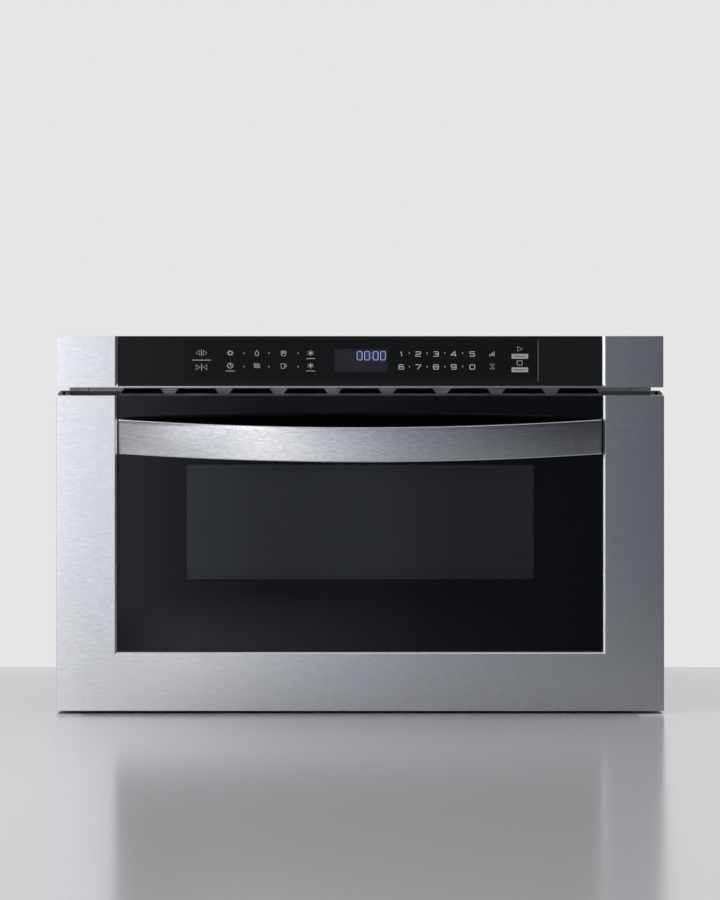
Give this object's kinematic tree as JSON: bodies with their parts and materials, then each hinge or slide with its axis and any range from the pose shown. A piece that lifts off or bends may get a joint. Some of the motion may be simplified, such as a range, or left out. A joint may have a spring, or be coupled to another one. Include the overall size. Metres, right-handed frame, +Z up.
{
  "type": "microwave drawer",
  "caption": "Built-in microwave oven whose glass-fronted drawer slides out under motor power, with touch controls above it and a curved bar handle.",
  "frame": {"origin": "on the shelf the case stands on, under the middle of the overall box", "axes": "+Z up, the drawer opens towards -Y, +X is the right-hand side seen from the front"},
  "size_m": [0.6064, 0.594, 0.377],
  "materials": {
    "stainless": "horizontally brushed stainless steel",
    "black_glass": "polished black glass",
    "black_plastic": "satin black moulding",
    "screen": "fine perforated dark metal screen",
    "grey_steel": "dark grey coated steel",
    "galvanised": "galvanised sheet steel",
    "enamel": "smooth light grey oven enamel",
    "ceramic": "off-white glass ceramic",
    "zinc": "bright zinc plated steel",
    "acetal": "natural white engineering plastic",
    "copper": "steel core with lacquered copper coils",
    "pcb": "green circuit board",
    "mica": "pale mica sheet",
    "bulb": "lamp holder with a frosted bulb",
    "motor_steel": "plain grey steel housings"
  },
  "bodies": {
    "case": {"outer_slide_left": "zinc", "outer_slide_right": "zinc", "drive_motor": "motor_steel", "interlock_switch_left": "black_plastic", "interlock_switch_right": "black_plastic", "base_pan": "galvanised", "side_panel_left": "galvanised", "side_panel_right": "galvanised", "top_cover": "galvanised", "rear_panel": "galvanised", "mounting_flange": "grey_steel", "vent_grille": "grey_steel", "control_frame": "stainless", "control_glass": "black_glass", "control_housing": "galvanised", "touch_membrane": "black_plastic", "display_module": "black_plastic", "control_board": "pcb", "oven_cavity": "enamel", "stirrer_well": "galvanised", "stirrer_cover": "mica", "stirrer_motor": "motor_steel", "waveguide": "galvanised", "magnetron": "motor_steel", "hv_transformer": "copper", "hv_capacitor": "motor_steel", "fan_frame": "black_plastic", "air_duct": "galvanised", "cavity_lamp": "bulb", "terminal_block": "black_plastic", "cord_gland": "black_plastic"},
    "drawer": {"door_frame": "stainless", "frame_cap_left": "grey_steel", "frame_cap_right": "grey_steel", "door_glass": "black_glass", "pocket_liner": "black_plastic", "handle": "stainless", "window_screen": "screen", "door_core": "black_plastic", "choke_panel": "enamel", "choke_cover": "black_plastic", "drawer_pan": "enamel", "ceramic_plate": "ceramic", "inner_slide_left": "zinc", "inner_slide_right": "zinc", "slide_arm_left": "zinc", "slide_arm_right": "zinc", "drive_rack": "acetal", "latch_finger_left": "acetal", "latch_finger_right": "acetal"},
    "slide_middles": {"middle_slide_left": "zinc", "middle_slide_right": "zinc"},
    "pinion": {"drive_pinion": "acetal"},
    "fan": {"fan_rotor": "black_plastic"},
    "stirrer_rotor": {"stirrer": "galvanised"},
    "plunger_left": {"switch_plunger_left": "acetal"},
    "plunger_right": {"switch_plunger_right": "acetal"}
  },
  "joints": [
    {"name": "drawer_slide", "type": "slide", "parent": "case", "child": "drawer", "axis": [0, -1, 0], "range_m": [0, 0.38]},
    {"name": "middle_slide", "type": "slide", "parent": "case", "child": "slide_middles", "axis": [0, -1, 0], "range_m": [0, 0.19]},
    {"name": "pinion_spin", "type": "hinge", "parent": "case", "child": "pinion", "pos_m": [-0.06, -0.195, 0.026], "axis": [1, 0, 0], "range_deg": [0, 1361]},
    {"name": "fan_spin", "type": "hinge", "parent": "case", "child": "fan", "pos_m": [0.226, 0.21, 0.314], "axis": [0, 1, 0], "continuous": true},
    {"name": "stirrer_spin", "type": "hinge", "parent": "case", "child": "stirrer_rotor", "pos_m": [0, -0.036, 0.279], "axis": [0, 0, 1], "continuous": true},
    {"name": "plunger_left_press", "type": "slide", "parent": "case", "child": "plunger_left", "axis": [0, 1, 0], "range_m": [0, 0.002], "stiffness_N_per_m": 250},
    {"name": "plunger_right_press", "type": "slide", "parent": "case", "child": "plunger_right", "axis": [0, 1, 0], "range_m": [0, 0.002], "stiffness_N_per_m": 250}
  ],
  "couplings": [
    {"joint": "middle_slide", "follows": "drawer_slide", "ratio": 0.5},
    {"joint": "pinion_spin", "follows": "drawer_slide", "rad_per_m": 62.5}
  ]
}
